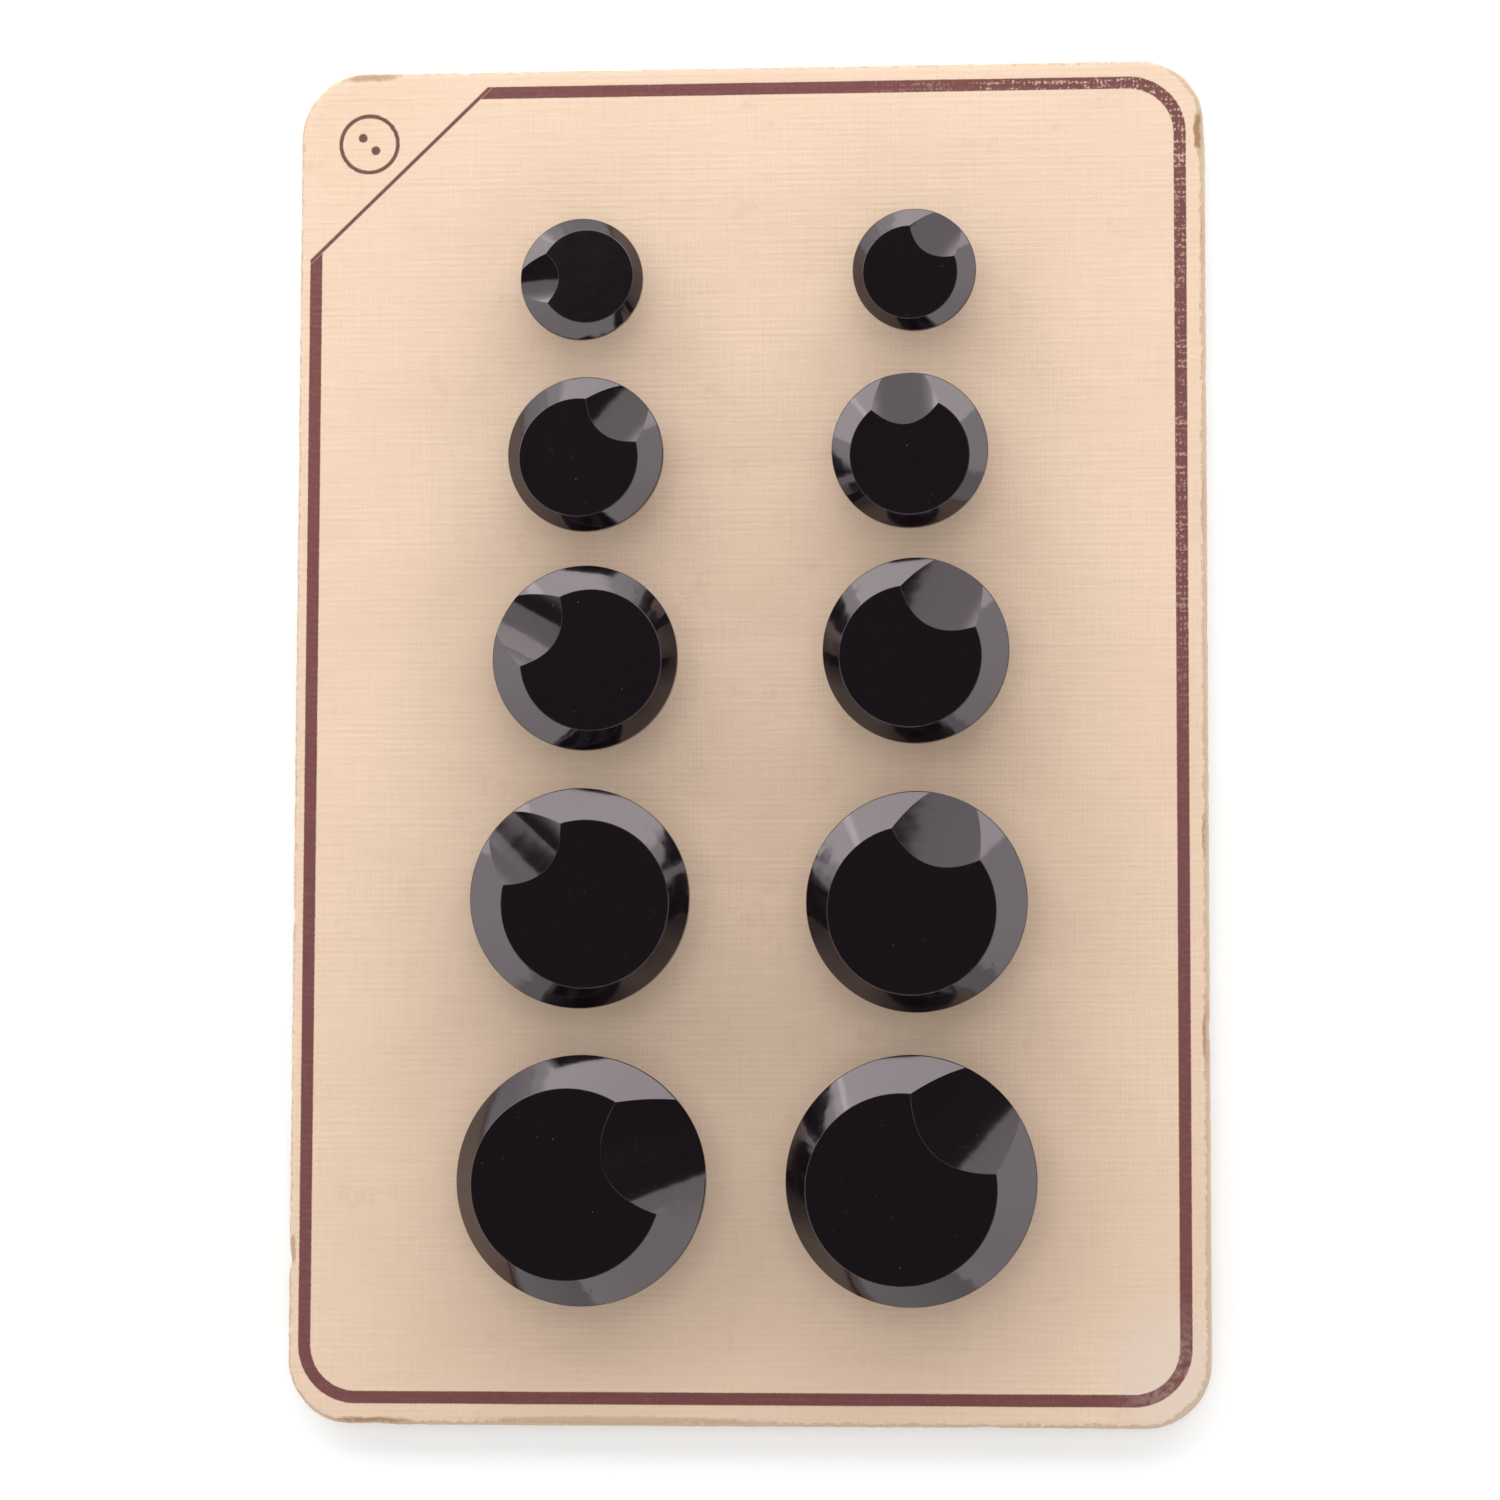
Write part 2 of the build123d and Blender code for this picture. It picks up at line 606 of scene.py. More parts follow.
@dataclass(frozen=True)
class WornRim:
    """The worn rim of the card's face: a thin ragged line, broader down the right; along the foot a
    broader dark band.
    """

    reach: float = 0.18
    right: Step = (48.0, 4.0)
    right_reach: float = 0.38
    # Where the dark band grows broader along the foot, darkening a wider strip across the bottom
    # edge.
    foot: Step = (-75.0, 3.0)
    foot_reach: float = 0.22
    fleck_share: float = 1.5
    fine_share: float = 0.5
    soft: float = 0.22

    def mask(self, card: CardSheet, x: Value, y: Value, fleck: Value, fine: Value) -> Value:
        """Marks the rim.

        Args:
            card: the card, for its outline.
            x: the place across the card.
            y: the place up the card.
            fleck: the card's coarse noise.
            fine: the card's fine noise.

        Returns:
            1 on the worn rim and 0 inside it.
        """
        across = abs(x) - (card.half_width - card.corner) / MM
        along = abs(y) - (card.half_height - card.corner) / MM
        corner = across.high(0.0).length(along.high(0.0))
        depth = card.corner / MM - corner - across.high(along).low(0.0)
        right = x.above(*self.right) * self.right_reach
        reach = self.reach + right + y.below(*self.foot) * self.foot_reach
        coarse = (fleck - NOISE_MIDDLE) * self.fleck_share
        ragged = coarse + (fine - NOISE_MIDDLE) * self.fine_share
        return (depth + ragged - reach).below(0.0, self.soft)


@dataclass(frozen=True)
class Ageing:
    """The foxing, the pin spots and the thumbed stains of the card's face."""

    stain: Colour = (0.36, 0.205, 0.11)
    foxing: Grain = Grain(even(0.16), 5.0, 0.7)
    foxing_step: Step = (0.66, 0.14)
    foxing_share: float = 0.22
    pin_cells: Point = even(0.38)
    pin_size: float = 0.045
    pin_step: Step = (0.55, 0.2)
    pin_share: float = 0.25
    patches: tuple[WornPatch, ...] = (
        WornPatch((51.3, 69.2), (0.6, 2.3), 0.5, 1.0),
        WornPatch((51.6, 69.6), (0.35, 1.6), 0.4, 1.0),
        WornPatch((51.7, 57.0), (0.30, 3.4), 0.5, 0.6),
        WornPatch((51.7, 26.0), (0.30, 4.4), 0.5, 0.6),
        WornPatch((51.6, -11.0), (0.35, 2.6), 0.5, 0.8),
        WornPatch((51.6, -33.5), (0.45, 3.6), 0.6, 0.8),
        WornPatch((-51.6, -58.0), (0.35, 1.8), 0.5, 0.6),
        WornPatch((-44.5, 77.2), (3.4, 0.6), 0.7, 0.7),
        WornPatch((-43.0, -77.2), (5.0, 0.55), 0.7, 0.9),
        WornPatch((-15.0, -76.9), (14.0, 0.5), 0.7, 0.4),
        WornPatch((22.0, -7.0), (9.0, 26.0), 1.6, 0.06),
        WornPatch((-30.0, -70.0), (16.0, 6.0), 1.6, 0.05),
    )

    def stained(
        self, s: Surface, colour: Socket, x: Value, y: Value, fleck: Value, fine: Value
    ) -> Socket:
        """Stains the face.

        Args:
            s: the material's tree.
            colour: the face's clean colour.
            x: the place across the card.
            y: the place up the card.
            fleck: the card's coarse noise.
            fine: the card's fine noise.

        Returns:
            The aged colour.
        """
        foxing = s.noise(self.foxing).above(*self.foxing_step) * fleck
        colour = s.mix(foxing * self.foxing_share, colour, self.stain)
        pins = s.specks(self.pin_cells, self.pin_size) * fine.above(*self.pin_step)
        colour = s.mix(pins * self.pin_share, colour, self.stain)
        for patch in self.patches:
            colour = s.mix(patch.mask(x, y, fleck) * patch.strength, colour, self.stain)
        return colour


@dataclass(frozen=True)
class Pasteboard:
    """Cream pasteboard with a linen emboss, an aged face, a printed rule and a grey core."""

    rule: PrintedRule = PrintedRule()
    linen: Linen = Linen()
    ageing: Ageing = Ageing()
    print_wear: PrintWear = PrintWear()
    rim: WornRim = WornRim()
    scuffed: WornPatch = WornPatch((47.2, -71.2), (5.6, 6.6), 1.0, 0.62)
    cream: Colour = (0.815, 0.618, 0.466)
    shade: Colour = (0.725, 0.532, 0.389)
    ink: Colour = (0.160, 0.053, 0.050)
    thin_ink: Colour = (0.304, 0.1007, 0.095)
    scuff: Colour = (0.74, 0.61, 0.51)
    core: Colour = (0.56, 0.42, 0.30)
    core_dark: Colour = (0.30, 0.19, 0.11)
    back: Colour = (0.50, 0.43, 0.36)
    back_fibre: Colour = (0.36, 0.29, 0.23)
    cloud: Grain = Grain((0.035, 0.05, 0.05), 4.0, 0.6)
    fleck: Grain = Grain(even(1.1), 5.0, 0.7)
    fine: Grain = Grain(even(4.5), 4.0, 0.65)
    layers: Grain = Grain((0.25, 0.25, 9.0), 4.0, 0.7)
    fibres: Grain = Grain((0.7, 2.8, 1.0), 5.0, 0.7)
    side_margin: float = 0.16
    side_soft: float = 0.1
    cloud_step: Step = (0.52, 0.5)
    cloud_share: float = 0.5
    linen_level: float = 0.74
    linen_contrast: float = 1.5
    print_level: float = 0.8
    print_linen: float = 0.10
    print_ragged: float = 0.12
    ink_level: float = 0.35
    ink_share: float = 0.5
    rim_share: float = 0.85
    scuff_step: Step = (0.5, 0.3)
    scuff_over_print: float = 0.22
    layer_step: Step = (0.5, 0.4)
    torn_step: Step = (0.55, 0.3)
    torn_share: float = 0.5
    fibre_step: Step = (0.55, 0.35)
    fibre_share: float = 0.55
    age_step: Step = (0.55, 0.3)
    age_share: float = 0.35
    scuff_relief: float = 0.7
    fine_relief: float = 0.35
    rim_relief: float = 0.9
    side_relief: float = 0.9
    relief: float = 0.055
    roughness: float = 0.74
    fleck_gloss: float = 0.16
    ink_gloss: float = 0.12
    specular: float = 0.35
    ior: float = 1.45

    def material(self, card: CardSheet) -> bpy.types.Material:
        """Makes the card's material.

        Args:
            card: the card, for its face's height and its outline.

        Returns:
            The material.
        """
        s = Surface("linen_pasteboard")
        x, y, z = s.axes()
        face = z.above(card.face / MM - self.side_margin, self.side_soft)
        rear = z.below(card.back / MM + self.side_margin, self.side_soft)
        linen = self.linen.height(s)
        cloud, fleck, fine = s.noise(self.cloud), s.noise(self.fleck), s.noise(self.fine)

        colour = s.mix(cloud.above(*self.cloud_step) * self.cloud_share, self.cream, self.shade)
        colour = s.mix((linen - self.linen_level) * self.linen_contrast, colour, self.shade)
        colour = self.ageing.stained(s, colour, x, y, fleck, fine)
        scuffed = self.scuffed.mask(x, y, fleck)
        colour = s.mix(scuffed * self.scuffed.strength, colour, self.scuff)

        stray = (linen - self.print_level) * self.print_linen
        stray = stray + (fine - NOISE_MIDDLE) * self.print_ragged
        printed = self.rule.mask(x + stray, y + stray)
        printed = printed * (1 - self.print_wear.mask(s, x, y, fleck, linen))
        ink = s.mix((fleck - self.ink_level) * self.ink_share, self.ink, self.thin_ink)
        colour = s.mix(printed, colour, ink)
        # The rim band, in the core's colour: worn edges all round, broader down the right, and a
        # broader dark band along the foot.
        worn = self.rim.mask(card, x, y, fleck, fine)
        colour = s.mix(worn * self.rim_share, colour, self.core)
        dusty = scuffed * fleck.above(*self.scuff_step)
        colour = s.mix(dusty * self.scuff_over_print, colour, self.scuff)

        layers = s.noise(self.layers)
        side = s.mix(layers.above(*self.layer_step), self.core, self.core_dark)
        side = s.mix(fine.above(*self.torn_step) * self.torn_share, side, self.scuff)
        fibres = s.noise(self.fibres).above(*self.fibre_step) * self.fibre_share
        reverse = s.mix(fibres, self.back, self.back_fibre)
        reverse = s.mix(cloud.above(*self.age_step) * self.age_share, reverse, self.core)
        colour = s.mix(face, side, colour)
        colour = s.mix(rear, colour, reverse)

        height = linen * (1 - scuffed * self.scuff_relief)
        height = (height + fine * self.fine_relief - worn * self.rim_relief) * face
        height = height + (layers + fine) * (1 - face) * self.side_relief
        gloss = (fleck - NOISE_MIDDLE) * self.fleck_gloss - printed * self.ink_gloss
        return s.finish(
            {
                "Base Color": colour,
                "Roughness": self.roughness + gloss,
                "Normal": s.bump(height, self.relief),
            },
            {"IOR": self.ior, "Specular IOR Level": self.specular},
        )


@dataclass(frozen=True)
class PolishedPlastic:
    """Polished black plastic, with the dust and hair scratches of a shop's sample."""

    black: Colour = (0.0050, 0.0032, 0.0050)
    # A pink tint painted onto every reflection of the buttons, standing in for the pinkish light of
    # the room.
    painted_reflection_tint: Colour = (1.0, 0.87, 0.90)
    dust: Colour = (0.060, 0.054, 0.056)
    cloud: Grain = Grain(even(0.22), 3.0, 0.6)
    grain: Grain = Grain(even(6.0), 4.0, 0.7)
    scratch: Grain = Grain((0.5, 9.0, 1.0), 2.0, 0.5)
    scratch_step: Step = (0.70, 0.05)
    crossing: Grain = Grain((9.0, 0.6, 1.0), 2.0, 0.5)
    crossing_step: Step = (0.71, 0.05)
    flow: Grain = Grain(even(0.45), 1.0, 0.4)
    dusty_step: Step = (0.52, 0.2)
    speck_cells: Point = even(0.62)
    lint_cells: Point = (0.35, 1.9, 0.8)
    speck_size: float = 0.045
    lint_share: float = 0.6
    dust_share: float = 0.7
    polish: float = 0.07
    cloud_haze: float = 0.03
    scratch_haze: float = 0.05
    dust_haze: float = 0.5
    grain_relief: float = 0.06
    flow_relief: float = 1.6
    scratch_relief: float = 0.08
    relief: float = 0.006
    ior: float = 1.66

    def material(self) -> bpy.types.Material:
        """Makes the buttons' material.

        Returns:
            The material.
        """
        s = Surface("polished_black_plastic")
        cloud, grain = s.noise(self.cloud), s.noise(self.grain)
        scratch = s.noise(self.scratch).above(*self.scratch_step)
        hair = scratch.high(s.noise(self.crossing).above(*self.crossing_step))
        dusty = cloud.above(*self.dusty_step)
        specks = s.specks(self.speck_cells, self.speck_size) * dusty
        lint = s.specks(self.lint_cells, self.speck_size) * dusty
        dirt = specks.high(lint * self.lint_share)
        colour = s.mix(dirt * self.dust_share, self.black, self.dust)
        rough = self.polish + cloud * self.cloud_haze
        rough = rough + hair * self.scratch_haze + dirt * self.dust_haze
        height = grain * self.grain_relief + s.noise(self.flow) * self.flow_relief
        height = height - hair * self.scratch_relief
        # The Specular Tint paints the room's pinkish light into the buttons' reflections.
        return s.finish(
            {"Base Color": colour, "Roughness": rough, "Normal": s.bump(height, self.relief)},
            {"IOR": self.ior, "Specular Tint": (*self.painted_reflection_tint, 1.0)},
        )


@dataclass(frozen=True)
class TwistedCotton:
    """Black sewing cotton with a soft nap."""

    dark: Colour = (0.012, 0.011, 0.012)
    light: Colour = (0.055, 0.050, 0.050)
    fibre: Grain = Grain(even(7.0), 4.0, 0.7)
    fibre_step: Step = (0.5, 0.5)
    fibre_share: float = 0.8
    worn: Grain = Grain(even(1.2), 3.0, 0.6)
    worn_step: Step = (0.62, 0.2)
    worn_share: float = 0.4
    worn_relief: float = 0.5
    roughness: float = 0.72
    fibre_haze: float = 0.2
    relief: float = 0.05
    nap: float = 0.5
    nap_roughness: float = 0.4
    ior: float = 1.5

    def material(self) -> bpy.types.Material:
        """Makes the threads' material.

        Returns:
            The material.
        """
        s = Surface("black_sewing_cotton")
        fibre, worn = s.noise(self.fibre), s.noise(self.worn)
        colour = s.mix(fibre.above(*self.fibre_step) * self.fibre_share, self.dark, self.light)
        colour = s.mix(worn.above(*self.worn_step) * self.worn_share, colour, self.light)
        return s.finish(
            {
                "Base Color": colour,
                "Roughness": self.roughness + fibre * self.fibre_haze,
                "Normal": s.bump(fibre + worn * self.worn_relief, self.relief),
            },
            {
                "Sheen Weight": self.nap,
                "Sheen Roughness": self.nap_roughness,
                "IOR": self.ior,
            },
        )


@dataclass(frozen=True)
class StudioPaper:
    """The plain white paper that the card lies on."""

    white: Colour = (0.93, 0.93, 0.93)
    tooth_shade: Colour = (0.90, 0.90, 0.90)
    tooth: Grain = Grain(even(0.8), 3.0, 0.6)
    tooth_share: float = 0.04
    roughness: float = 0.95
    glow: float = 0.22

    def material(self) -> bpy.types.Material:
        """Makes the floor's material.

        Returns:
            The material.
        """
        s = Surface("studio_paper")
        colour = s.mix(s.noise(self.tooth) * self.tooth_share, self.white, self.tooth_shade)
        return s.finish(
            {"Base Color": colour},
            {
                "Roughness": self.roughness,
                "Emission Color": (*self.white, 1.0),
                "Emission Strength": self.glow,
            },
        )


# ----------------------------------------------------------------------------- mesh helpers


def make_piece(name: str, mesh: bpy.types.Mesh) -> bpy.types.Object:
    """Puts a mesh in the scene.

    Args:
        name: the new object's name.
        mesh: its mesh.

    Returns:
        The object.
    """
    piece = bpy.data.objects.new(name, mesh)
    bpy.context.scene.collection.objects.link(piece)
    return piece


def dress(piece: bpy.types.Object, material: bpy.types.Material) -> None:
    """Gives a piece its one material."""
    piece.data.materials.clear()
    piece.data.materials.append(material)


# ----------------------------------------------------------------------------- the card


@dataclass(frozen=True)
class Nick:
    """A dent in the card's edge: its place, its width and its depth, in millimetres."""

    at: tuple[float, float]
    width: float
    depth: float


@dataclass
class CardSheet:
    """The pasteboard card, with its rubbed, slightly frayed edge."""

    finish: Pasteboard = field(default_factory=Pasteboard)
    corner: float = 7.5 * MM
    step: float = 0.45 * MM
    corner_points: int = 6  # at least
    arris: float = 0.16 * MM
    arris_run: float = 2.2
    arris_wear: float = 0.6
    arris_inset: float = 0.4
    arris_rise: float = 0.3
    flat_inset: float = 1.3 * MM
    layers: int = 6
    layer_spread: float = 3.0
    fray: float = 0.07 * MM
    fray_mean: float = 0.55
    fray_coarse: tuple[float, float] = (0.9, 0.9)
    fray_fine: tuple[float, float] = (0.5, 3.1)
    nick_at_back: float = 0.35
    nicks: tuple[Nick, ...] = (
        Nick((52.0, 70.0), 2.4, 0.35),
        Nick((52.0, 41.0), 0.9, 0.20),
        Nick((52.0, 12.0), 1.2, 0.16),
        Nick((52.0, -33.0), 1.6, 0.22),
        Nick((-52.0, -59.0), 1.4, 0.25),
        Nick((-52.0, -20.0), 0.9, 0.16),
        Nick((-43.0, -77.5), 3.6, 0.28),
        Nick((-33.0, 77.5), 1.0, 0.15),
        Nick((27.0, -77.5), 2.0, 0.18),
    )
    hole_radius: float = 0.603 * MM
    hole_collar: float = 0.5 * MM
    hole_points: int = 20
    burr: float = 0.06 * MM
    burr_grain: float = 0.3 * MM
    # Each ring of a hole: its share of the radius, its height in burrs, and how ragged it is.
    hole_at_back: tuple[Point, ...] = ((1.22, -0.5, 0.5), (1.0, -0.7, 1.0), (0.96, 2.0, 0.0))
    hole_at_face: tuple[Point, ...] = ((0.96, -3.0, 0.0), (1.05, -1.0, 0.3))
    half_width: float = field(init=False)
    half_height: float = field(init=False)
    back: float = field(init=False)
    face: float = field(init=False)

    def __post_init__(self) -> None:
        """Takes the card's size from its CAD node."""
        low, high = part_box("card")
        self.half_width, self.half_height = high.x, high.y
        self.back, self.face = low.z, high.z

    def outline(self, inset: float) -> list[tuple[Vector, Vector]]:
        """Walks round the card's edge.

        Args:
            inset: how far inside the true edge to walk.

        Returns:
            Points, each with its outward direction, the same number for any inset.
        """
        wide, tall = self.half_width - self.corner, self.half_height - self.corner
        radius = self.corner - inset
        walk: list[tuple[Vector, Vector]] = []
        arc = max(self.corner_points, round(self.corner * math.pi / 2 / self.step))
        centres = [(wide, tall), (-wide, tall), (-wide, -tall), (wide, -tall)]
        for quarter, centre in enumerate(centres):
            for i in range(arc):
                angle = (quarter + i / arc) * math.pi / 2
                out = Vector((math.cos(angle), math.sin(angle)))
                walk.append((Vector(centre) + out * radius, out))
            angle = (quarter + 1) * math.pi / 2
            out = Vector((math.cos(angle), math.sin(angle)))
            start = Vector(centre) + out * radius
            end = Vector(centres[(quarter + 1) % 4]) + out * radius
            count = round((end - start).length / self.step)
            walk.extend((start.lerp(end, i / count), out) for i in range(count))
        return walk

    def wear(self, point: Vector, level: float) -> float:
        """How far the edge is worn back at a point.

        Args:
            point: the place on the outline.
            level: 0 at the card's back and 1 at its face.

        Returns:
            The depth of wear, in metres, never negative.
        """
        spot = Vector((point.x / MM, point.y / MM, level * self.layer_spread))
        ragged = self.fray_mean
        for strength, scale in (self.fray_coarse, self.fray_fine):
            ragged += strength * noise.noise(spot * scale)
        worn = self.fray * ragged
        reach = self.nick_at_back + (1 - self.nick_at_back) * level
        for nick in self.nicks:
            gap = (point - Vector(nick.at) * MM).length / (nick.width * MM)
            worn += nick.depth * MM * math.exp(-gap * gap * 2) * reach
        return max(0.0, worn)

    def ring(self, inset: float, z: float, level: float, fade: float) -> list[Vector]:
        """One closed loop of the card's skin.

        Args:
            inset: its distance inside the true edge.
            z: its height.
            level: 0 at the back and 1 at the face, for the wear.
            fade: the share of the edge's wear that reaches this loop.

        Returns:
            The loop's points.
        """
        loop = []
        for point, out in self.outline(inset):
            flat = point - out * (self.wear(point, level) * fade)
            loop.append(Vector((flat.x, flat.y, z)))
        return loop

    def rings(self) -> list[list[Vector]]:
        """Lines up the card's loops, from the flat back round the edge to the flat face.

        Returns:
            The loops in order.
        """
        back, face = self.back, self.face
        run, inset = self.arris * self.arris_run, self.arris * self.arris_inset
        rise = self.arris * self.arris_rise
        loops = [
            self.ring(self.flat_inset, back, 0.0, 0.0),
            self.ring(run, back, 0.0, self.arris_wear),
            self.ring(inset, back + rise, 0.0, 1.0),
        ]
        low, high = back + self.arris, face - self.arris
        for i in range(self.layers):
            level = i / (self.layers - 1)
            loops.append(self.ring(0.0, low + (high - low) * level, level, 1.0))
        loops.append(self.ring(inset, face - rise, 1.0, 1.0))
        loops.append(self.ring(run, face, 1.0, self.arris_wear))
        loops.append(self.ring(self.flat_inset, face, 1.0, 0.0))
        return loops

    def needle_hole(self, centre: Vector) -> list[list[Vector]]:
        """The loops of one needle hole, from the flat back, through the card, to the flat face.

        Args:
            centre: the hole's middle.

        Returns:
            Loops of points; the needle has dimpled the face and left a ragged burr at the back.
        """
        collar = self.hole_radius + self.hole_collar
        steps = [(collar, self.back, 0.0)]
        for level, profile in ((self.back, self.hole_at_back), (self.face, self.hole_at_face)):
            for share, rise, ragged in profile:
                steps.append((self.hole_radius * share, level + rise * self.burr, ragged))
        steps.append((collar, self.face, 0.0))
        loops = []
        for radius, z, ragged in steps:
            loop = []
            for i in range(self.hole_points):
                angle = math.tau * i / self.hole_points
                out = Vector((math.cos(angle), math.sin(angle), 0.0))
                rough = noise.noise((centre + out * radius) / self.burr_grain) * self.burr * ragged
                loop.append(Vector((centre.x, centre.y, z)) + out * radius + Vector((0, 0, rough)))
            loops.append(loop)
        return loops

    def skin(self, form: bmesh.types.BMesh, rings: list[list[Vector]], flip: bool) -> list:
        """Joins loops of points with quads.

        Args:
            form: the mesh being made.
            rings: the loops, all with the same number of points.
            flip: whether the quads face the loops' middle.

        Returns:
            The edges of the first loop and those of the last.
        """
        loops = [[form.verts.new(p) for p in ring] for ring in rings]
        for lower, upper in zip(loops, loops[1:], strict=False):
            for i, corner in enumerate(lower):
                after = (i + 1) % len(lower)
                quad = (corner, lower[after], upper[after], upper[i])
                form.faces.new(tuple(reversed(quad)) if flip else quad)
        ends = []
        for loop in (loops[0], loops[-1]):
            pairs = zip(loop, loop[1:] + loop[:1], strict=True)
            ends.append([form.edges.get(pair) for pair in pairs])
        return ends

    def build(self) -> bpy.types.Object:
        """Makes the card's mesh and dresses it.

        Returns:
            The card.
        """
        form = bmesh.new()
        back_edges, face_edges = self.skin(form, self.rings(), flip=False)
        for sewn in SEWING:
            for sign in (1, -1):
                centre = sewn.place(Vector((0.0, sign * sewn.leg_reach, 0.0)), 0.0)
                back, face = self.skin(form, self.needle_hole(centre), flip=True)
                back_edges += back
                face_edges += face
        for edges, up in ((back_edges, -1.0), (face_edges, 1.0)):
            bmesh.ops.triangle_fill(
                form, edges=edges, use_beauty=True, use_dissolve=False, normal=(0.0, 0.0, up)
            )
        bmesh.ops.recalc_face_normals(form, faces=form.faces)
        for facet in form.faces:
            facet.smooth = True
        mesh = bpy.data.meshes.new("card_sheet")
        form.to_mesh(mesh)
        form.free()
        card = make_piece("card_sheet", mesh)
        dress(card, self.finish.material(self))
        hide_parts("card")
        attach(card, BODY)
        return card


# ----------------------------------------------------------------------------- the buttons


@dataclass
class ShankButtons:
    """The ten moulded buttons, which keep their CAD shape and get their polish here."""

    finish: PolishedPlastic = field(default_factory=PolishedPlastic)

    def build(self, nodes: dict[str, bpy.types.Object]) -> list[bpy.types.Object]:
        """Dresses the buttons.

        Args:
            nodes: the frame's CAD objects by name.

        Returns:
            The buttons.
        """
        material = self.finish.material()
        buttons = [nodes[sewn.button] for sewn in SEWING]
        for button in buttons:
            dress(button, material)
        return buttons


# ----------------------------------------------------------------------------- the threads


@dataclass
class Yarn:
    """Twisted plies laid along paths and skinned into one mesh."""

    form: bmesh.types.BMesh
    ply_radius: float = 0.115 * MM
    ply_orbit: float = 0.092 * MM
    plies: int = 2
    twist_pitch: float = 1.0 * MM
    step: float = 0.12 * MM
    sides: int = 6
    first_side: Point = (0.31, 0.17, 0.93)
    wander: float = 0.12
    wander_grain: float = 0.6 * MM
    lumps: float = 0.10
    lump_grain: float = 0.25 * MM
    fibres: int = 9
    fibre_points: int = 6
    fibre_sides: int = 4
    fibre_radius: float = 0.028 * MM
    fibre_taper: float = 1.15
    fibre_root: float = 0.25 * MM
    fibre_length: tuple[float, float] = (0.45, 1.0)
    fibre_spread: float = 0.55
    fibre_bend: float = 0.5

    def spaced(self, path: list[Vector]) -> list[Vector]:
        """Puts a path's points one step apart.

        Args:
            path: any points along it.

        Returns:
            Evenly spaced points from its first to its last.
        """
        marks = [0.0]
        for start, end in zip(path, path[1:], strict=False):
            marks.append(marks[-1] + (end - start).length)
        count = max(2, round(marks[-1] / self.step))
        points, leg = [], 0
        for i in range(count + 1):
            mark = marks[-1] * i / count
            while leg < len(path) - 2 and marks[leg + 1] < mark:
                leg += 1
            share = (mark - marks[leg]) / max(marks[leg + 1] - marks[leg], NEAR_ZERO)
            points.append(path[leg].lerp(path[leg + 1], share))
        return points

    def frames(self, points: list[Vector]) -> list[tuple[Vector, Vector]]:
        """Carries a pair of side directions along a path without turning about it.

        Args:
            points: the path.

        Returns:
            Two directions square to the path, at every point.
        """
        frames = []
        side = Vector(self.first_side)
        for i in range(len(points)):
            along = points[min(i + 1, len(points) - 1)] - points[max(i - 1, 0)]
            along.normalize()
            side = (side - along * side.dot(along)).normalized()
            frames.append((side.copy(), along.cross(side)))
        return frames

    def tube(self, points: list[Vector], radii: list[float], sides: int) -> None:
        """Skins one tube, closed at both ends.

        Args:
            points: its middle line.
            radii: its radius at each point.
            sides: how many sides it has.
        """
        loops = []
        for point, (side, other), radius in zip(points, self.frames(points), radii, strict=True):
            loop = []
            for i in range(sides):
                angle = math.tau * i / sides
                away = side * math.cos(angle) + other * math.sin(angle)
                loop.append(self.form.verts.new(point + away * radius))
            loops.append(loop)
        for lower, upper in zip(loops, loops[1:], strict=False):
            for i in range(sides):
                after = (i + 1) % sides
                self.form.faces.new((lower[i], lower[after], upper[after], upper[i]))
        self.form.faces.new(list(reversed(loops[0])))
        self.form.faces.new(loops[-1])

    def lay(self, path: list[Vector]) -> None:
        """Lays the twisted plies along a path.

        Args:
            path: the yarn's middle line.
        """
        points = self.spaced(path)
        frames = self.frames(points)
        for ply in range(self.plies):
            line, radii = [], []
            for i, (point, (side, other)) in enumerate(zip(points, frames, strict=True)):
                angle = math.tau * (i * self.step / self.twist_pitch + ply / self.plies)
                wander = 1.0 + self.wander * noise.noise(point / self.wander_grain)
                lump = 1.0 + self.lumps * noise.noise(point / self.lump_grain)
                away = side * math.cos(angle) + other * math.sin(angle)
                line.append(point + away * self.ply_orbit * wander)
                radii.append(self.ply_radius * lump)
            self.tube(line, radii, self.sides)

    def fray(
        self, tip: Vector, out: Vector, levels: tuple[float, float], chance: random.Random
    ) -> None:
        """Spreads loose fibres from a cut end.

        Args:
            tip: the cut end.
            out: the way the yarn runs there.
            levels: the heights that every fibre stays between.
            chance: the source of their scatter.
        """
        low, high = levels
        shares = [i / (self.fibre_points - 1) for i in range(self.fibre_points)]
        radii = [self.fibre_radius * (self.fibre_taper - share) for share in shares]
        root = tip - out * self.fibre_root
        for _ in range(self.fibres):
            spread = self.scatter(self.fibre_spread, chance)
            length = chance.uniform(*self.fibre_length) * MM
            bend = self.scatter(self.fibre_bend, chance)
            line = []
            for share in shares:
                spot = root + (out + spread * share + bend * share * share) * length * share
                spot.z = min(max(spot.z, low), high)
                line.append(spot)
            self.tube(line, radii, self.fibre_sides)

    @staticmethod
    def scatter(reach: float, chance: random.Random) -> Vector:
        """Returns a vector with each part drawn within the reach either way."""
        return Vector([chance.uniform(-reach, reach) for _ in range(3)])


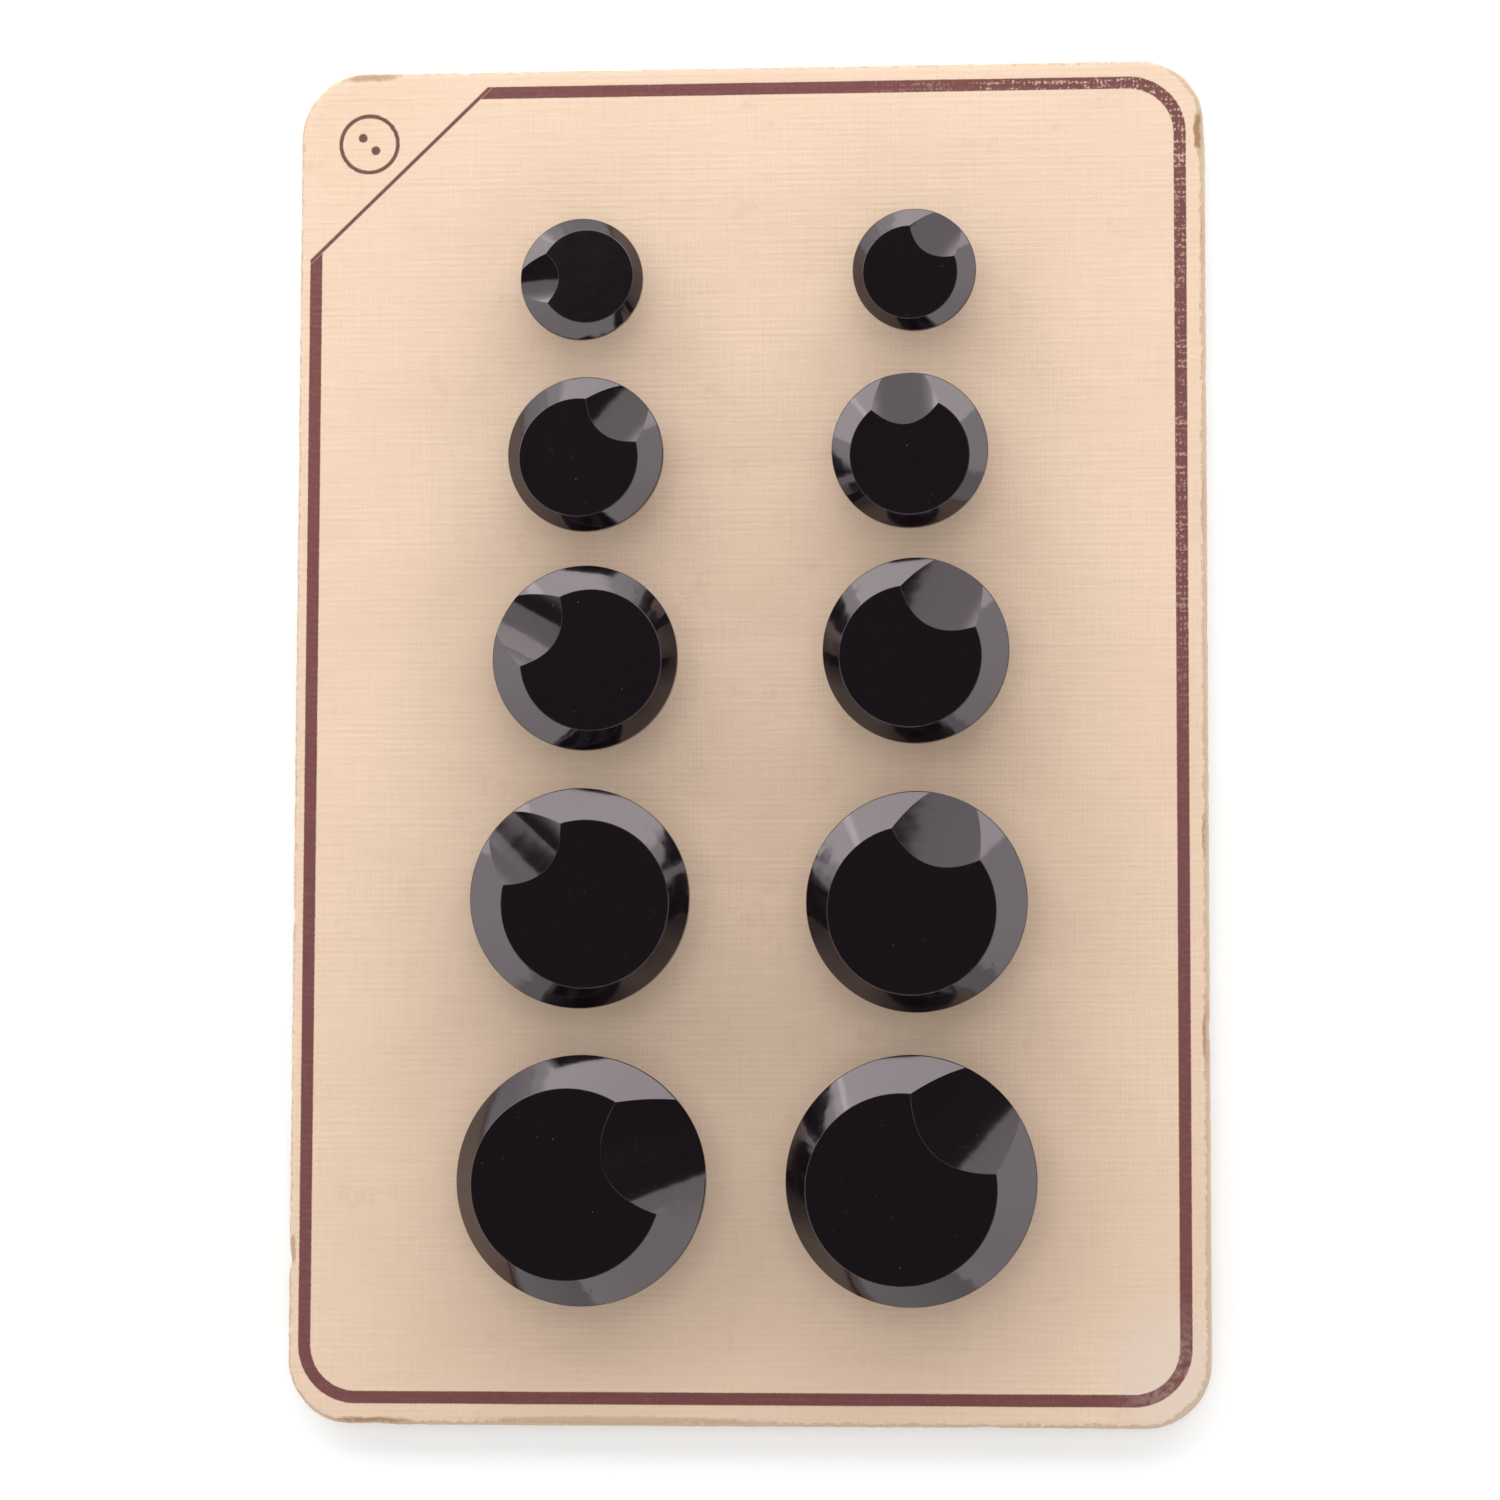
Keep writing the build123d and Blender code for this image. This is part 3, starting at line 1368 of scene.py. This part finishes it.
@dataclass
class ThreadTie:
    """The doubled thread that holds one button: a loop through shank and card, knotted behind."""

    sewn: Sewn
    face: float
    back: float
    loop_top: float = 1.054
    loop_bottom: float = -1.825
    loop_corner: float = 0.375
    corner_steps: int = 6
    strand_spread: float = 0.215
    knot_level: float = -2.25
    knot_half_width: float = 0.64
    knot_half_height: float = 0.44
    knot_turns: float = 4.5
    knot_pitch: float = 0.40
    turn_points: int = 20
    turn_slack: float = 0.07
    turn_sway: float = 0.05
    turn_sways: int = 3
    tail_root: float = 0.84
    tail_run: float = 3.65
    tail_lean: float = 28.0
    tail_curl: float = 0.35
    tail_points: int = 9
    tail_start: float = 0.6
    tail_rise: float = 0.30
    tail_rise_rate: float = 2.5
    floor_gap: float = 0.03
    back_gap: float = 0.06

    def loop(self, spread: float) -> list[Vector]:
        """One strand of the loop, in millimetres about the button's foot.

        Args:
            spread: how far the strand lies to one side of the loop's middle.

        Returns:
            Its points: across the back, up one hole, through the shank and down the other.
        """
        reach = self.sewn.leg_reach / MM
        bend = self.loop_corner
        corners = (
            (reach - bend, self.loop_bottom + bend, -QUARTER),
            (reach - bend, self.loop_top - bend, 0.0),
            (bend - reach, self.loop_top - bend, QUARTER),
            (bend - reach, self.loop_bottom + bend, 2 * QUARTER),
        )
        path = [Vector((spread, 0.0, self.knot_level))]
        for y, z, start in corners:
            for i in range(self.corner_steps + 1):
                angle = math.radians(start + QUARTER * i / self.corner_steps)
                path.append(
                    Vector((spread, y + bend * math.cos(angle), z + bend * math.sin(angle)))
                )
        path.append(path[0].copy())
        return path

    def knot(self, chance: random.Random) -> list[Vector]:
        """The wound knot with its two tails as one line, in millimetres about the button's foot.

        Args:
            chance: the source of its unevenness.

        Returns:
            Its points, from one cut end to the other.
        """
        half = self.knot_turns * self.knot_pitch / 2
        ends = [self.tail(sign, half, chance) for sign in (1, -1)]
        coil = []
        count = round(self.knot_turns * self.turn_points)
        for i in range(count + 1):
            share = i / count
            angle = math.tau * self.knot_turns * share
            loose = noise.noise(Vector((angle, self.sewn.turn, 0.0)))
            width = self.knot_half_width * (1.0 + self.turn_slack * loose)
            sway = self.turn_sway * math.sin(self.turn_sways * angle)
            coil.append(
                Vector(
                    (
                        width * math.cos(angle),
                        half - 2 * half * share + sway,
                        self.knot_level + self.knot_half_height * math.sin(angle),
                    )
                )
            )
        return list(reversed(ends[0])) + coil + ends[1]

    def tail(self, sign: int, half: float, chance: random.Random) -> list[Vector]:
        """One cut tail, in millimetres about the button's foot.

        Args:
            sign: the side of the knot that the tail leaves.
            half: half the knot's length.
            chance: the source of its curl.

        Returns:
            Its points, from the knot to the cut end.
        """
        lean = math.radians(self.tail_lean)
        curl = chance.uniform(-self.tail_curl, self.tail_curl)
        points = []
        for i in range(self.tail_points):
            share = i / (self.tail_points - 1)
            run = self.tail_root + self.tail_run * share
            sway = curl * math.sin(math.pi * share)
            sway += half * sign * (1 - share) * self.tail_start
            rise = self.tail_rise * min(1.0, self.tail_rise_rate * share)
            points.append(
                Vector(
                    (
                        run * math.cos(lean),
                        sign * run * math.sin(lean) + sway,
                        self.knot_level + rise,
                    )
                )
            )
        return points

    def build(self, material: bpy.types.Material) -> bpy.types.Object:
        """Makes the tie and puts it in its CAD node's place.

        Args:
            material: the thread's finish.

        Returns:
            The tie.
        """
        chance = random.Random(self.sewn.thread)
        form = bmesh.new()
        yarn = Yarn(form)
        for spread in (self.strand_spread, -self.strand_spread):
            yarn.lay([self.world(point) for point in self.loop(spread)])
        tails = [self.world(point) for point in self.knot(chance)]
        yarn.lay(tails)
        levels = (self.floor_gap * MM, self.back - self.back_gap * MM)
        yarn.fray(tails[0], (tails[0] - tails[1]).normalized(), levels, chance)
        yarn.fray(tails[-1], (tails[-1] - tails[-2]).normalized(), levels, chance)
        for facet in form.faces:
            facet.smooth = True
        mesh = bpy.data.meshes.new(self.sewn.thread + "_yarn")
        form.to_mesh(mesh)
        form.free()
        tie = make_piece(mesh.name, mesh)
        dress(tie, material)
        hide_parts(self.sewn.thread)
        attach(tie, BODY)
        return tie

    def world(self, local: Vector) -> Vector:
        """Returns the place in the scene of a place in millimetres about the button's foot."""
        return self.sewn.place(local * MM, self.face)


# ----------------------------------------------------------------------------- the studio


@dataclass(frozen=True)
class SoftBox:
    """One soft lamp, aimed at the card's middle; angles in degrees and sizes in metres."""

    name: str
    heading: float
    height: float
    distance: float
    size: tuple[float, float]
    watts: float

    def build(self, target: Vector) -> bpy.types.Object:
        """Hangs the lamp.

        Args:
            target: the point that it faces.

        Returns:
            The lamp.
        """
        lamp = bpy.data.lights.new(self.name, "AREA")
        lamp.shape = "RECTANGLE"
        lamp.size, lamp.size_y = self.size
        lamp.energy = self.watts
        heading, height = math.radians(self.heading), math.radians(self.height)
        away = Vector(
            (
                math.sin(heading) * math.cos(height),
                math.cos(heading) * math.cos(height),
                math.sin(height),
            )
        )
        hung = bpy.data.objects.new(self.name, lamp)
        bpy.context.scene.collection.objects.link(hung)
        hung.location = target + away * self.distance
        hung.rotation_euler = (-away).to_track_quat("-Z", "Y").to_euler()
        return hung


@dataclass
class Studio:
    """White paper, a pale room that is dark overhead, two soft lamps and the camera."""

    paper: StudioPaper = field(default_factory=StudioPaper)
    paper_size: float = 4.0
    room_tint: Colour = (1.0, 1.0, 1.0)
    near_light: float = 2.0
    far_rise: float = 0.35
    near_edge: float = -0.33
    near_soft: float = 0.85
    wall_top: float = 0.50
    wall_soft: float = 0.16
    dark_light: float = 0.07
    ring_light: float = 0.96
    ring_foot: float = 0.84
    ring_top: float = 0.962
    ring_soft: float = 0.03
    under_step: Step = (-0.06, 0.1)
    under_loss: float = 0.8
    lamps: tuple[SoftBox, ...] = (
        SoftBox("main_softbox", 3.0, 28.5, 0.45, (0.87, 0.375), 1.75),
        SoftBox("left_softbox", -52.0, 22.5, 0.45, (0.24, 0.28), 0.34),
    )
    camera_place: Point = (47.9 * MM, -56.3 * MM, 565.4 * MM)
    camera_aim: Point = (0.2 * MM, -1.35 * MM, 2.9 * MM)
    camera_up: Point = (0.0054, 0.9953, 0.0968)
    lens: float = 120.0
    sensor: float = 36.0
    clip: tuple[float, float] = (0.01, 10.0)

    def build(self) -> None:
        """Sets up the floor, the light and the camera."""
        self.lay_paper()
        self.light_room()
        target = Vector((0.0, 0.0, 0.0))
        for lamp in self.lamps:
            lamp.build(target)
        self.place_camera()
        bpy.context.scene.view_settings.view_transform = "Standard"

    def lay_paper(self) -> None:
        """Lays the white paper under the card."""
        half = self.paper_size / 2
        form = bmesh.new()
        corners = [(-half, -half), (half, -half), (half, half), (-half, half)]
        form.faces.new([form.verts.new((x, y, 0.0)) for x, y in corners])
        mesh = bpy.data.meshes.new("paper_floor")
        form.to_mesh(mesh)
        form.free()
        paper = make_piece("paper_floor", mesh)
        dress(paper, self.paper.material())

    def light_room(self) -> None:
        """Lights the room like a white tent with a dark opening above and dark shoulders round it."""
        world = bpy.data.worlds.new("pale_room")
        world.use_nodes = True
        s = Shading(world.node_tree)
        _, y, z = s.parts(s.node("TexCoord", {}, {}).outputs["Generated"])
        walls = z.below(self.wall_top, self.wall_soft) * (
            self.near_light + y.above(self.near_edge, self.near_soft) * self.far_rise
        )
        ring = z.above(self.ring_foot, self.ring_soft) * z.below(self.ring_top, self.ring_soft)
        under = z.below(*self.under_step) * self.under_loss
        light = self.dark_light + walls * (1 - under) + ring * self.ring_light
        sky = s.node("Background", {}, {"Strength": light, "Color": (*self.room_tint, 1.0)})
        s.node("OutputWorld", {}, {"Surface": sky.outputs[0]})
        bpy.context.scene.world = world

    def place_camera(self) -> None:
        """Stands the camera above the card, a little to the right and below its middle."""
        lens = bpy.data.cameras.new("camera")
        lens.lens = self.lens
        lens.sensor_width = self.sensor
        lens.clip_start, lens.clip_end = self.clip
        camera = bpy.data.objects.new("camera", lens)
        bpy.context.scene.collection.objects.link(camera)
        camera.location = self.camera_place
        back = (Vector(self.camera_place) - Vector(self.camera_aim)).normalized()
        right = Vector(self.camera_up).cross(back).normalized()
        turned = Matrix((right, back.cross(right), back)).transposed()
        camera.rotation_mode = "QUATERNION"
        camera.rotation_quaternion = turned.to_quaternion()
        bpy.context.scene.camera = camera


def main() -> None:
    """Builds the card, its buttons, its threads and the studio, and notes the model's size."""
    logging.basicConfig(level=logging.INFO, format="%(message)s")
    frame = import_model()
    card_sheet = CardSheet()
    card = card_sheet.build()
    dress(frame["nodes"]["card"], card.data.materials[0])
    LOG.info("%s: %d vertices", card.name, len(card.data.vertices))
    buttons = ShankButtons().build(frame["nodes"])
    LOG.info("%d buttons polished", len(buttons))
    cotton = TwistedCotton().material()
    for sewn in SEWING:
        tie = ThreadTie(sewn, card_sheet.face, card_sheet.back).build(cotton)
        dress(frame["nodes"][sewn.thread], cotton)
        LOG.info("%s: %d vertices", tie.name, len(tie.data.vertices))
    Studio().build()


if __name__ == "__main__":
    main()
